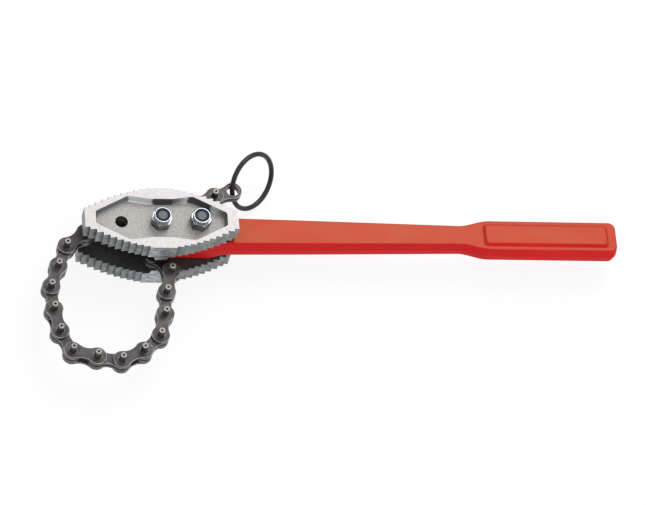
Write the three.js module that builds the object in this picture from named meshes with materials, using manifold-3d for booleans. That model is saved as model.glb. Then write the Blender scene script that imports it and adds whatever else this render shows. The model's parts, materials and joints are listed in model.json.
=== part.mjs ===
// Chain tongs: a forged handle held between two double-ended toothed jaws by two
// bolts, and a plate-and-pin chain that hangs on the centre bolt in the handle's
// fork, wraps round the pipe and comes back over the jaws to a pull ring.
// Millimetres, +Z up. The tongs lie flat: +X runs along the handle to the grip,
// +Z is the axis of the bolts and of every chain pin.

import * as THREE from 'three';
import { mergeVertices } from 'three/addons/utils/BufferGeometryUtils.js';
import Module from 'manifold-3d';

const wasm = await Module();
wasm.setup();

// Clearances
const runningGap = 0.3;
const overrun = 2;
const fuseDepth = 1;
const weldDistance = 1e-5;

// Bolts and nuts
const boltDiameter = 16;
const boltSpacing = 50.5;
const boltHeadHeight = 10;
const boltEndChamfer = 1.8;
const hexAcrossFlats = 24;
const hexEdgeChamfer = 1.1;
const nutHexHeight = 13;
const nutHeight = 20;
const nutCollarDiameter = 22.6;
const nutCollarEdge = 1.2;
const insertDiameter = 19.2;
const insertHeight = 4.2;
const insertSink = 0.5;
const boltTurn = THREE.MathUtils.degToRad(10);
const centreNutTurn = THREE.MathUtils.degToRad(41);
const handleNutTurn = THREE.MathUtils.degToRad(13);

// Jaws
const jawThickness = 25;
const jawSpacing = 44;
const jawHalfLength = 99.2;
const jawEndHalfHeight = 14.5;
const jawCentreHalfHeight = 43.2;
const padHalfWidth = 17.5;
const toothArcRadius = 240;
const toothPitch = 8.4;
const toothTilt = THREE.MathUtils.degToRad(5);
const recessDepth = 11.5;
const recessDraft = 1;
const recessFloorFillet = 1.8;
const recessEndRim = 14;
const recessEndHalfHeight = 9;
const recessShoulderPlace = 42;
const recessShoulderHalfHeight = 32;
const recessWaistPlace = 15;
const recessWaistHalfHeight = 28;
const recessEndFillet = 4;
const recessShoulderFillet = 9;
const recessWaistFillet = 22;
const lugLength = 8;
const lugThickness = 6.5;
const lugBaseHalfWidth = 9.3;
const lugTipHalfWidth = 7;

// Handle
const headHalfWidth = 23;
const headEdge = 2.5;
const headEnd = 66;
const neckStart = 92;
const neckHalfWidth = 20.4;
const neckHalfThickness = 16.2;
const shaftMiddle = 186;
const shaftMiddleHalfWidth = 19.1;
const shaftMiddleHalfThickness = 15.6;
const shaftEnd = 396;
const shaftEndHalfWidth = 15.5;
const shaftEndHalfThickness = 13.9;
const gripStart = 436;
const gripEnd = 606.5;
const gripHalfWidth = 23;
const gripHalfThickness = 14.5;
const gripEndRadius = 9;
const forgingDraft = 1.6;
const partingHalfHeight = 1.2;
const shaftEdge = 2;
const forkBottom = 17;
const panelStart = 427;
const panelEndMargin = 12.5;
const panelHalfWidth = 12.8;
const panelHeight = 3.4;
const panelBevel = 3.5;
const panelCornerRadius = 4;

// Chain
const chainPitch = 31.75;
const plateThickness = 3.5;
const plateEndRadius = 11.8;
const plateWaistRadius = 20;
const innerPlateGap = 3;
const pinDiameter = 8.8;
const pinLength = 40.6;
const pinChamfer = 0.5;
const pinCentreHole = 3;
const pinCentreDepth = 1;
const bushDiameter = 13;
const anchorEyeRadius = 14;
const anchorHubDiameter = 24;
const endLinkLength = 27;
const endLinkHole = 15.5;

// Pull ring
const ringWire = 6.6;
const ringRadius = 37.3;
const ringLean = THREE.MathUtils.degToRad(61);
const ringHeading = THREE.MathUtils.degToRad(44.5);
const ringSwing = THREE.MathUtils.degToRad(-15.4);

// Facets
const boreSides = 16;
const pinSides = 8;
const hexSides = 6;
const plateEndSteps = 6;
const plateWaistSteps = 3;
const cornerSteps = 3;
const noseSteps = 7;
const ringSides = 8;
const ringSteps = 28;

// Directions of the chain's links, in degrees from +X, from the anchor link to the
// last outer link: the chain hangs below the handle, goes round the pipe's place
// at the left and comes back over the jaws.
const anchorHeading = -102.5;
const linkHeadings = [
  -47.5, -104.5, -97.5, -104.5, -136, -154.5, -188.5, -194, -243, -259,
  -266.5, -290, -293, -322, -324.5, -328.5, -333.5, -355.5, -377, -333.5,
];
const endLinkHeading = -338.5;

// Sizes and counts that follow from those above
const teethInQuarter = Math.floor((jawHalfLength - padHalfWidth) / toothPitch);
const boltRadius = boltDiameter / 2;
const boreRadius = boltRadius + runningGap;
const jawInner = jawSpacing / 2;
const jawOuter = jawInner + jawThickness;
const webOuter = jawOuter - recessDepth;
const headHalfThickness = jawInner - runningGap;
const pinRadius = pinDiameter / 2;
const pinHole = pinRadius + runningGap;
const bushRadius = bushDiameter / 2;
const innerNear = innerPlateGap / 2;
const innerFar = innerNear + plateThickness;
const outerNear = innerFar + runningGap;
const outerFar = outerNear + plateThickness;
const anchorPinHalf = outerFar + runningGap;
const forkHalfGap = anchorPinHalf + runningGap;
const nutBase = webOuter + runningGap;
const nutTop = nutBase + nutHeight;
const shaftThroughNut = nutTop - insertSink;

// Materials, one function for each finish
function enamel() {
  return new THREE.MeshStandardMaterial({ color: 0xc8282c, roughness: 0.35, metalness: 0 });
}

function groundSteel() {
  return new THREE.MeshStandardMaterial({ color: 0xc9c6c2, roughness: 0.4, metalness: 0.9 });
}

function zincPlate() {
  return new THREE.MeshStandardMaterial({ color: 0xaeb2b8, roughness: 0.25, metalness: 1 });
}

function nylon() {
  return new THREE.MeshStandardMaterial({ color: 0x232a38, roughness: 0.5, metalness: 0 });
}

function phosphatedSteel() {
  return new THREE.MeshStandardMaterial({ color: 0x6f6a6c, roughness: 0.55, metalness: 0.6 });
}

function blackedSteel() {
  return new THREE.MeshStandardMaterial({ color: 0x1c1c1e, roughness: 0.4, metalness: 0.6 });
}

// A geometry becomes a solid that can be joined and cut, and comes back.
function solidOf(geometry) {
  const bare = geometry.clone();
  bare.deleteAttribute('normal');
  bare.deleteAttribute('uv');
  const merged = mergeVertices(bare, weldDistance);
  return new wasm.Manifold(new wasm.Mesh({
    numProp: 3,
    vertProperties: new Float32Array(merged.attributes.position.array),
    triVerts: new Uint32Array(merged.index.array),
  }));
}

function geometryOf(solid) {
  const { vertProperties, triVerts } = solid.getMesh();
  const geometry = new THREE.BufferGeometry();
  geometry.setAttribute('position', new THREE.BufferAttribute(vertProperties, 3));
  geometry.setIndex(new THREE.BufferAttribute(triVerts, 1));
  const faceted = geometry.toNonIndexed();
  faceted.computeVertexNormals();
  return faceted;
}

function joined(solids) {
  return solids.reduce((whole, solid) => whole.add(solid));
}

function cut(solid, tools) {
  return tools.reduce((whole, tool) => whole.subtract(tool), solid);
}

// A straight prism over an outline, from one height to another.
function prism(outline, low, high) {
  const geometry = new THREE.ExtrudeGeometry(new THREE.Shape(outline), {
    depth: high - low,
    bevelEnabled: false,
  });
  geometry.translate(0, 0, low);
  return solidOf(geometry);
}

function circle(x, y, radius, sides) {
  return Array.from({ length: sides }, (unused, index) => {
    const angle = (2 * Math.PI * index) / sides;
    return new THREE.Vector2(x + radius * Math.cos(angle), y + radius * Math.sin(angle));
  });
}

function rod(x, y, radius, low, high, sides = boreSides) {
  return prism(circle(x, y, radius, sides), low, high);
}

// A turned solid about +Z from (radius, height) points, moved to (x, y).
function turned(profile, sides, x = 0, y = 0) {
  const points = profile.map(([radius, height]) => new THREE.Vector2(radius, height));
  const geometry = new THREE.LatheGeometry(points, sides);
  geometry.rotateX(Math.PI / 2);
  geometry.translate(x, y, 0);
  return solidOf(geometry);
}

// An outline whose corners, given as [x, y, fillet radius], are rounded.
function rounded(corners) {
  return corners.flatMap(([x, y, radius], index) => {
    const corner = new THREE.Vector2(x, y);
    const [previousX, previousY] = corners.at(index - 1);
    const [nextX, nextY] = corners[(index + 1) % corners.length];
    const back = new THREE.Vector2(previousX, previousY).sub(corner).normalize();
    const ahead = new THREE.Vector2(nextX, nextY).sub(corner).normalize();
    const half = Math.acos(back.dot(ahead)) / 2;
    const centre = back.clone().add(ahead).normalize();
    centre.multiplyScalar(radius / Math.sin(half)).add(corner);
    const start = back.clone().multiplyScalar(radius / Math.tan(half)).add(corner).sub(centre);
    const turn = Math.sign(ahead.cross(back)) * (Math.PI - 2 * half);
    return Array.from({ length: cornerSteps + 1 }, (unused, step) => {
      const angle = (turn * step) / cornerSteps;
      return start.clone().rotateAround(new THREE.Vector2(), angle).add(centre);
    });
  });
}

// A solid through rings of equally many points, one ring at each height.
function loft(rings, heights) {
  const count = rings[0].length;
  const positions = rings.flatMap((ring, level) => ring.flatMap((p) => [p.x, p.y, heights[level]]));
  const indices = [];
  for (let level = 0; level < rings.length - 1; level += 1) {
    for (let point = 0; point < count; point += 1) {
      const a = level * count + point;
      const b = level * count + ((point + 1) % count);
      indices.push(a, b, b + count, a, b + count, a + count);
    }
  }
  const last = (rings.length - 1) * count;
  for (const [a, b, c] of THREE.ShapeUtils.triangulateShape(rings[0], [])) {
    indices.push(a, c, b);
  }
  for (const [a, b, c] of THREE.ShapeUtils.triangulateShape(rings.at(-1), [])) {
    indices.push(last + a, last + b, last + c);
  }
  const geometry = new THREE.BufferGeometry();
  geometry.setAttribute('position', new THREE.Float32BufferAttribute(positions, 3));
  geometry.setIndex(indices);
  return geometry;
}

// Jaws

// The tooth tips lie on an arc from the jaw's end to the corner of its pad.
function toothTipHeight(place) {
  const end = new THREE.Vector2(jawHalfLength, jawEndHalfHeight);
  const pad = new THREE.Vector2(padHalfWidth, jawCentreHalfHeight);
  const chord = pad.clone().sub(end);
  const rise = Math.sqrt(toothArcRadius ** 2 - chord.lengthSq() / 4);
  const inward = new THREE.Vector2(-chord.y, chord.x).normalize();
  const centre = end.clone().add(pad).divideScalar(2).addScaledVector(inward, rise);
  return centre.y + Math.sqrt(toothArcRadius ** 2 - (place - centre.x) ** 2);
}

// One quarter of the jaw's outline, from the end to the pad: each tooth has a long
// face that leans in slightly and a short upright face towards the jaw's end.
function jawQuarter() {
  const places = [jawHalfLength];
  for (let tooth = teethInQuarter; tooth >= 0; tooth -= 1) {
    places.push(padHalfWidth + tooth * toothPitch);
  }
  const outline = [];
  places.forEach((place, index) => {
    if (index > 0) {
      const before = places[index - 1];
      const foot = toothTipHeight(before) - (before - place) * Math.tan(toothTilt);
      outline.push(new THREE.Vector2(place, foot));
    }
    outline.push(new THREE.Vector2(place, toothTipHeight(place)));
  });
  return outline;
}

function mirrored(outline, signX, signY) {
  const copy = outline.map((p) => new THREE.Vector2(signX * p.x, signY * p.y));
  return signX * signY < 0 ? copy.reverse() : copy;
}

function jawOutline() {
  const quarter = jawQuarter();
  return [
    ...quarter,
    ...mirrored(quarter, -1, 1),
    ...mirrored(quarter, -1, -1),
    ...mirrored(quarter, 1, -1),
  ];
}

// The recess in the jaw's outer face: eight-sided, drawn in at the waist.
function recessOutline(inset) {
  const quarter = [
    [jawHalfLength - recessEndRim - inset, recessEndHalfHeight - inset / 2, recessEndFillet],
    [recessShoulderPlace - inset / 2, recessShoulderHalfHeight - inset, recessShoulderFillet],
    [recessWaistPlace, recessWaistHalfHeight - inset, recessWaistFillet],
  ];
  const corners = [
    ...quarter,
    ...quarter.map(([x, y, radius]) => [-x, y, radius]).reverse(),
    ...quarter.map(([x, y, radius]) => [-x, -y, radius]),
    ...quarter.map(([x, y, radius]) => [x, -y, radius]).reverse(),
  ];
  return rounded(corners);
}

function recess() {
  const insets = [recessDraft + recessFloorFillet, recessDraft, 0];
  const heights = [webOuter, webOuter + recessFloorFillet, jawOuter + overrun];
  return solidOf(loft(insets.map(recessOutline), heights));
}

// A lug on the jaw's inner face, flush with the pad: a chain pin lies on each side
// of it. Its outline lies across the jaw, and is extruded along the jaw's height.
function lug(side) {
  const outline = [
    new THREE.Vector2(lugBaseHalfWidth, jawInner + fuseDepth),
    new THREE.Vector2(lugBaseHalfWidth, jawInner),
    new THREE.Vector2(lugTipHalfWidth, jawInner - lugLength),
    new THREE.Vector2(-lugTipHalfWidth, jawInner - lugLength),
    new THREE.Vector2(-lugBaseHalfWidth, jawInner),
    new THREE.Vector2(-lugBaseHalfWidth, jawInner + fuseDepth),
  ];
  const bar = prism(outline, -lugThickness / 2, lugThickness / 2).rotate([90, 0, 0]);
  return bar.translate([0, side * (jawCentreHalfHeight - lugThickness / 2), 0]);
}

function jaw() {
  const blank = joined([prism(jawOutline(), jawInner, jawOuter), lug(1), lug(-1)]);
  const bores = [-boltSpacing, 0, boltSpacing].map((place) => (
    rod(place, 0, boreRadius, jawInner - overrun, jawOuter + overrun)
  ));
  return geometryOf(cut(blank, [recess(), ...bores]));
}

// Bolts and nuts

// A hexagon prism with its corners turned down at the low end, and at the high end
// too where both are told.
function hexagon(low, high, both) {
  const cornerRadius = hexAcrossFlats / Math.sqrt(3);
  const flatRadius = hexAcrossFlats / 2;
  const clear = cornerRadius + hexEdgeChamfer;
  const top = both
    ? [[clear, high - 2 * hexEdgeChamfer], [flatRadius, high], [0, high]]
    : [[clear, high], [0, high]];
  const profile = [[0, low], [flatRadius, low], [clear, low + 2 * hexEdgeChamfer], ...top];
  return rod(0, 0, cornerRadius, low, high, hexSides).intersect(turned(profile, boreSides));
}

function bolt() {
  const underHead = -nutBase;
  const head = hexagon(underHead - boltHeadHeight, underHead, false);
  const shank = turned([
    [0, underHead - fuseDepth],
    [boltRadius, underHead - fuseDepth],
    [boltRadius, shaftThroughNut - boltEndChamfer],
    [boltRadius - boltEndChamfer, shaftThroughNut],
    [0, shaftThroughNut],
  ], boreSides);
  return geometryOf(head.add(shank));
}

function nut() {
  const hexTop = nutBase + nutHexHeight;
  const collarRadius = nutCollarDiameter / 2;
  const body = hexagon(nutBase, hexTop, true);
  const collar = turned([
    [0, hexTop - fuseDepth],
    [collarRadius, hexTop - fuseDepth],
    [collarRadius, nutTop - nutCollarEdge],
    [collarRadius - nutCollarEdge, nutTop],
    [0, nutTop],
  ], boreSides);
  const pocketFloor = nutTop - insertSink - insertHeight - runningGap;
  const pocket = rod(0, 0, insertDiameter / 2 + runningGap, pocketFloor, nutTop + overrun);
  const bore = rod(0, 0, boreRadius, nutBase - overrun, nutTop + overrun);
  return geometryOf(cut(body.add(collar), [pocket, bore]));
}

function insert() {
  const top = nutTop - insertSink;
  const low = top - insertHeight;
  const body = rod(0, 0, insertDiameter / 2, low, top);
  return geometryOf(body.subtract(rod(0, 0, boreRadius, low - overrun, top + overrun)));
}

// Handle

// Half a forging's section, from the flat top down to the parting line and on to
// the flat bottom, mirrored to a ring of points in the (Y, Z) plane.
function handleSection([, halfWidth, halfThickness, edge]) {
  const topHalf = Math.max(halfWidth - forgingDraft, halfWidth / 2);
  const round = Math.min(edge, topHalf / 2);
  const diagonal = round * (1 - Math.SQRT1_2);
  const side = [
    [topHalf - round, halfThickness],
    [topHalf - diagonal, halfThickness - diagonal],
    [topHalf, halfThickness - round],
    [halfWidth, partingHalfHeight],
  ];
  const upperRight = side.map(([y, z]) => new THREE.Vector2(y, z)).reverse();
  const upperLeft = side.map(([y, z]) => new THREE.Vector2(-y, z));
  const lowerLeft = side.map(([y, z]) => new THREE.Vector2(-y, -z)).reverse();
  const lowerRight = side.map(([y, z]) => new THREE.Vector2(y, -z));
  return [...upperRight, ...upperLeft, ...lowerLeft, ...lowerRight];
}

// Stations along the handle: [place, half width, half thickness, edge rounding].
function handleStations() {
  const nose = Array.from({ length: noseSteps }, (unused, index) => {
    const angle = (Math.PI / 2) * ((index + 1) / noseSteps);
    return [
      -headHalfWidth * Math.cos(angle),
      headHalfWidth * Math.sin(angle),
      headHalfThickness,
      headEdge,
    ];
  });
  const end = Array.from({ length: cornerSteps + 1 }, (unused, index) => {
    const angle = (Math.PI / 2) * (index / cornerSteps);
    const drawnIn = gripEndRadius * (1 - Math.cos(angle));
    return [
      gripEnd - gripEndRadius + gripEndRadius * Math.sin(angle),
      gripHalfWidth - drawnIn,
      gripHalfThickness - drawnIn / 2,
      shaftEdge,
    ];
  });
  return [
    ...nose,
    [headEnd, headHalfWidth, headHalfThickness, headEdge],
    [neckStart, neckHalfWidth, neckHalfThickness, shaftEdge],
    [shaftMiddle, shaftMiddleHalfWidth, shaftMiddleHalfThickness, shaftEdge],
    [shaftEnd, shaftEndHalfWidth, shaftEndHalfThickness, shaftEdge],
    [gripStart, gripHalfWidth, gripHalfThickness, shaftEdge],
    ...end,
  ];
}

// A raised panel on the grip's flat, with a bevelled edge all round.
function gripPanel() {
  const outline = (inset) => {
    const left = panelStart + inset;
    const right = gripEnd - panelEndMargin - inset;
    const half = panelHalfWidth + panelBevel - inset;
    return rounded([
      [left, -half, panelCornerRadius],
      [right, -half, panelCornerRadius],
      [right, half, panelCornerRadius],
      [left, half, panelCornerRadius],
    ]);
  };
  const foot = gripHalfThickness;
  const heights = [foot - fuseDepth, foot, foot + panelHeight];
  return loft([outline(0), outline(0), outline(panelBevel)], heights);
}

function handle() {
  const stations = handleStations();
  const body = loft(stations.map(handleSection), stations.map(([place]) => place));
  const alongHandle = new THREE.Matrix4().makeBasis(
    new THREE.Vector3(0, 1, 0),
    new THREE.Vector3(0, 0, 1),
    new THREE.Vector3(1, 0, 0),
  );
  body.applyMatrix4(alongHandle);
  const upperPanel = gripPanel();
  const lowerPanel = upperPanel.clone();
  lowerPanel.rotateX(Math.PI);
  const forging = joined([solidOf(body), solidOf(upperPanel), solidOf(lowerPanel)]);
  const reach = headHalfWidth + overrun;
  const fork = prism([
    new THREE.Vector2(-reach, -reach),
    new THREE.Vector2(forkBottom, -reach),
    new THREE.Vector2(forkBottom, reach),
    new THREE.Vector2(-reach, reach),
  ], -forkHalfGap, forkHalfGap);
  const bores = [0, boltSpacing].map((place) => (
    rod(place, 0, boreRadius, -headHalfThickness - overrun, headHalfThickness + overrun)
  ));
  return geometryOf(cut(forging, [fork, ...bores]));
}

// Chain

// The outline of a link plate: a round end about each pivot, drawn in between them
// by an arc on each side that touches both ends.
function plateOutline(length, firstRadius, lastRadius) {
  const toFirst = firstRadius + plateWaistRadius;
  const toLast = lastRadius + plateWaistRadius;
  const waistX = (length ** 2 + toFirst ** 2 - toLast ** 2) / (2 * length);
  const waistY = Math.sqrt(toFirst ** 2 - waistX ** 2);
  const firstAngle = Math.atan2(waistY, waistX);
  const lastAngle = Math.atan2(waistY, waistX - length);
  const arc = (x, y, radius, from, to, steps, skipEnds) => {
    const angles = Array.from({ length: steps + 1 }, (unused, step) => (
      from + ((to - from) * step) / steps
    ));
    return (skipEnds ? angles.slice(1, -1) : angles).map((angle) => (
      new THREE.Vector2(x + radius * Math.cos(angle), y + radius * Math.sin(angle))
    ));
  };
  return [
    ...arc(0, 0, firstRadius, firstAngle, 2 * Math.PI - firstAngle, plateEndSteps, false),
    ...arc(
      waistX, -waistY, plateWaistRadius,
      Math.PI - firstAngle, Math.PI - lastAngle, plateWaistSteps, true,
    ),
    ...arc(length, 0, lastRadius, -lastAngle, lastAngle, plateEndSteps, false),
    ...arc(
      waistX, waistY, plateWaistRadius,
      lastAngle - Math.PI, firstAngle - Math.PI, plateWaistSteps, true,
    ),
  ];
}

function plate(length, firstRadius, lastRadius, low) {
  return prism(plateOutline(length, firstRadius, lastRadius), low, low + plateThickness);
}

function hole(x, radius, sides = pinSides + 2) {
  return rod(x, 0, radius, -pinLength, pinLength, sides);
}

// A pin with a chamfer and a shallow centre hole at each end.
function pin(x, halfLength) {
  const centreRadius = pinCentreHole / 2;
  return turned([
    [0, pinCentreDepth - halfLength],
    [centreRadius, -halfLength],
    [pinRadius - pinChamfer, -halfLength],
    [pinRadius, pinChamfer - halfLength],
    [pinRadius, halfLength - pinChamfer],
    [pinRadius - pinChamfer, halfLength],
    [centreRadius, halfLength],
    [0, halfLength - pinCentreDepth],
  ], pinSides, x, 0);
}

function outerLink() {
  const lower = plate(chainPitch, plateEndRadius, plateEndRadius, -outerFar);
  const pins = [0, chainPitch].map((place) => pin(place, pinLength / 2));
  return geometryOf(joined([lower, ...pins]));
}

function outerCover() {
  const upper = plate(chainPitch, plateEndRadius, plateEndRadius, outerNear);
  return geometryOf(cut(upper, [hole(0, pinHole), hole(chainPitch, pinHole)]));
}

// Two bushes stand on the lower plate and pass through the cover plate's holes.
function innerLink() {
  const lower = plate(chainPitch, plateEndRadius, plateEndRadius, -innerFar);
  const places = [0, chainPitch];
  const bushes = places.map((place) => (
    rod(place, 0, bushRadius, -innerFar, innerFar, pinSides + 2)
  ));
  const bores = places.map((place) => hole(place, pinHole));
  return geometryOf(cut(joined([lower, ...bushes]), bores));
}

function innerCover() {
  const upper = plate(chainPitch, plateEndRadius, plateEndRadius, innerNear);
  const holes = [0, chainPitch].map((place) => hole(place, bushRadius + runningGap));
  return geometryOf(cut(upper, holes));
}

// The anchor link's hub turns on the centre bolt, and its short pin carries the chain.
function anchorLink() {
  const lower = plate(chainPitch, anchorEyeRadius, plateEndRadius, -outerFar);
  const hub = rod(0, 0, anchorHubDiameter / 2, -outerNear - fuseDepth, outerNear - runningGap);
  const carrier = pin(chainPitch, anchorPinHalf);
  return geometryOf(joined([lower, hub, carrier]).subtract(hole(0, boreRadius, boreSides)));
}

function anchorCover() {
  const upper = plate(chainPitch, anchorEyeRadius, plateEndRadius, outerNear);
  const holes = [hole(0, boreRadius, boreSides), hole(chainPitch, pinHole)];
  return geometryOf(cut(upper, holes));
}

function endLink() {
  const lower = plate(endLinkLength, plateEndRadius, plateEndRadius, -innerFar);
  const bush = rod(0, 0, bushRadius, -innerFar, innerFar, pinSides + 2);
  const holes = [hole(0, pinHole), hole(endLinkLength, endLinkHole / 2, boreSides)];
  return geometryOf(cut(lower.add(bush), holes));
}

function endCover() {
  const upper = plate(endLinkLength, plateEndRadius, plateEndRadius, innerNear);
  const holes = [
    hole(0, bushRadius + runningGap),
    hole(endLinkLength, endLinkHole / 2, boreSides),
  ];
  return geometryOf(cut(upper, holes));
}

// Assembly

function piece(name, geometry, material) {
  const mesh = new THREE.Mesh(geometry, material);
  mesh.name = name;
  return mesh;
}

// A link's group stands on its first pivot and points along its heading.
function linkGroup(pivot, heading, meshes) {
  const group = new THREE.Group();
  group.position.set(pivot.x, pivot.y, 0);
  group.rotation.z = THREE.MathUtils.degToRad(heading);
  group.add(...meshes);
  return group;
}

function stepOn(pivot, heading, length) {
  const angle = THREE.MathUtils.degToRad(heading);
  return pivot.clone().add(new THREE.Vector2(Math.cos(angle), Math.sin(angle)).multiplyScalar(length));
}

function chain() {
  const group = new THREE.Group();
  const geometries = {
    inner_link: innerLink(),
    inner_cover: innerCover(),
    outer_link: outerLink(),
    outer_cover: outerCover(),
  };
  const anchor = [
    piece('anchor_link', anchorLink(), phosphatedSteel()),
    piece('anchor_cover', anchorCover(), phosphatedSteel()),
  ];
  let pivot = new THREE.Vector2();
  group.add(linkGroup(pivot, anchorHeading, anchor));
  pivot = stepOn(pivot, anchorHeading, chainPitch);
  linkHeadings.forEach((heading, index) => {
    const kind = index % 2 === 0 ? 'inner' : 'outer';
    const number = String(Math.floor(index / 2) + 1).padStart(2, '0');
    const meshes = ['link', 'cover'].map((part) => (
      piece(`${kind}_${part}_${number}`, geometries[`${kind}_${part}`], phosphatedSteel())
    ));
    group.add(linkGroup(pivot, heading, meshes));
    pivot = stepOn(pivot, heading, chainPitch);
  });
  group.add(linkGroup(pivot, endLinkHeading, [
    piece('end_link', endLink(), phosphatedSteel()),
    piece('end_cover', endCover(), phosphatedSteel()),
  ]));
  group.add(pullRing(stepOn(pivot, endLinkHeading, endLinkLength)));
  return group;
}

// The ring hangs through the end link's hole: its wire crosses the hole's middle,
// and its plane leans over from upright.
function pullRing(eye) {
  const ring = piece(
    'pull_ring',
    new THREE.TorusGeometry(ringRadius, ringWire / 2, ringSides, ringSteps),
    blackedSteel(),
  );
  ring.position.x = ringRadius;
  const swing = new THREE.Group();
  swing.rotation.z = ringSwing;
  swing.add(ring);
  const lean = new THREE.Group();
  lean.rotation.x = ringLean;
  lean.add(swing);
  const place = new THREE.Group();
  place.position.set(eye.x, eye.y, 0);
  place.rotation.z = ringHeading;
  place.add(lean);
  return place;
}

function boltSet(name, place, nutTurn) {
  const group = new THREE.Group();
  group.position.x = place;
  const shank = piece(`${name}_bolt`, bolt(), zincPlate());
  shank.rotation.z = boltTurn;
  const top = piece(`${name}_nut`, nut(), zincPlate());
  top.rotation.z = nutTurn;
  const seal = piece(`${name}_nut_insert`, insert(), nylon());
  group.add(shank, top, seal);
  return group;
}

function tongs() {
  const group = new THREE.Group();
  const jawGeometry = jaw();
  const frontJaw = piece('front_jaw', jawGeometry, groundSteel());
  const rearJaw = piece('rear_jaw', jawGeometry, groundSteel());
  rearJaw.rotation.x = Math.PI;
  group.add(
    piece('handle', handle(), enamel()),
    frontJaw,
    rearJaw,
    boltSet('centre', 0, centreNutTurn),
    boltSet('handle', boltSpacing, handleNutTurn),
    chain(),
  );
  return group;
}

// The origin is the middle of the whole object's footprint, at its lowest face.
function onItsFootprint(model) {
  const bounds = new THREE.Box3().setFromObject(model, true);
  const middle = bounds.getCenter(new THREE.Vector3());
  model.position.set(-middle.x, -middle.y, -bounds.min.z);
  const placed = new THREE.Group();
  placed.add(model);
  return placed;
}

export default onItsFootprint(tongs());
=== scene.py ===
# %% [markdown]
# # Chain tongs
# The tongs are two toothed steel jaws bolted to a forged, red enamelled handle, with a
# plate-and-pin chain that goes round the pipe. The model's fixed frame gives every
# piece its place: the joints are the chain's pivots, so each link can be put exactly
# where it belongs. Blender works in metres. Sizes are written in millimetres here, and
# are turned to metres by the factor MM. The jaws have three bolt holes in a row, and
# bolts go through the middle one and the one towards the grip.

import json
import math

import bpy
from mathutils import Euler, Matrix, Vector


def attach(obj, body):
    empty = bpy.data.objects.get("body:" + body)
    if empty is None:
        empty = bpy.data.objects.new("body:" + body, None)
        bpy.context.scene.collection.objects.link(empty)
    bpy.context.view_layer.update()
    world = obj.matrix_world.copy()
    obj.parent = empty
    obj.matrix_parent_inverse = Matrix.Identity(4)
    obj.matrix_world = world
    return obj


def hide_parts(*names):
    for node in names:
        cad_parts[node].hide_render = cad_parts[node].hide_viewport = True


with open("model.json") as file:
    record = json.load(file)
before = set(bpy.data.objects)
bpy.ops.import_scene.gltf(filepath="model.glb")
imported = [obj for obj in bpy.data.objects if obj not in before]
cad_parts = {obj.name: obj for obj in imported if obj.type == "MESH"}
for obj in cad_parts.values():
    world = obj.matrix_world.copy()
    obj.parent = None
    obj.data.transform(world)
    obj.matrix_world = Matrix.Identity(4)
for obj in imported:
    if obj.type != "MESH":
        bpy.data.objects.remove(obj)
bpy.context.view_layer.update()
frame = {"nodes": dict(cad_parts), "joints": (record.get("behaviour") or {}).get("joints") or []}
MM = 0.001
BOLT_SPACING = 50.5
BORES_X = (-BOLT_SPACING, 0, BOLT_SPACING)
pivots = [Vector(joint["pos_m"]) for joint in frame["joints"]]
centre = pivots[0].copy()
print("pivots", len(pivots), "centre bolt at", [round(c, 4) for c in centre])

# %% [markdown]
# ## The camera
# The tongs are seen from the front, a little to the left and from about 59 degrees
# above, by a long lens far away, so lines stay nearly parallel. The turns, the reach
# from the centre bolt and the focal length, in pixels, were matched to the jaws'
# corners, the nuts and the chain's pins.

# %% Place the camera
PICTURE_WIDTH = 646
FOCAL_LENGTH = 4929.3
camera_turn = Euler([math.radians(a) for a in (28.12, -13.01, -5.39)], "ZXY")
camera_reach = Vector((213.4, -21.55, 6316)) * MM
camera_data = bpy.data.cameras.new("camera")
camera_data.lens = FOCAL_LENGTH / PICTURE_WIDTH * camera_data.sensor_width
camera_data.clip_end = 50
camera = bpy.data.objects.new("camera", camera_data)
bpy.context.scene.collection.objects.link(camera)
camera.rotation_mode = "ZXY"
camera.rotation_euler = camera_turn
camera.location = centre + camera_turn.to_matrix() @ camera_reach
bpy.context.scene.camera = camera
bpy.context.scene.view_settings.view_transform = "Standard"
print("lens", round(camera_data.lens, 1), "camera at", [round(c, 2) for c in camera.location])

# %% [markdown]
# ## Helpers for nodes and colours
# Colours are written as they look on a screen and turned to linear light. One small
# function adds a shader node with its settings and its inputs, which are values or
# other nodes' outputs. The sockets of a colour mix and of a range map are numbered.

# %% Colours and nodes


def colour(text):
    def channel(value):
        return value / 12.92 if value <= 0.04045 else ((value + 0.055) / 1.055) ** 2.4

    return [channel(int(text[i : i + 2], 16) / 255) for i in (1, 3, 5)] + [1.0]


def add(tree, kind, inputs, **settings):
    made = tree.nodes.new(kind)
    for name, value in settings.items():
        setattr(made, name, value)
    for socket, value in inputs.items():
        if isinstance(value, bpy.types.NodeSocket):
            tree.links.new(value, made.inputs[socket])
        else:
            made.inputs[socket].default_value = value
    return made


FACTOR, FIRST, SECOND, MIXED = 0, 6, 7, 2
AMOUNT, FROM_LOW, FROM_HIGH, TO_LOW, TO_HIGH = range(5)
print("enamel red in linear light", [round(c, 3) for c in colour("#c8282c")])
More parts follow.
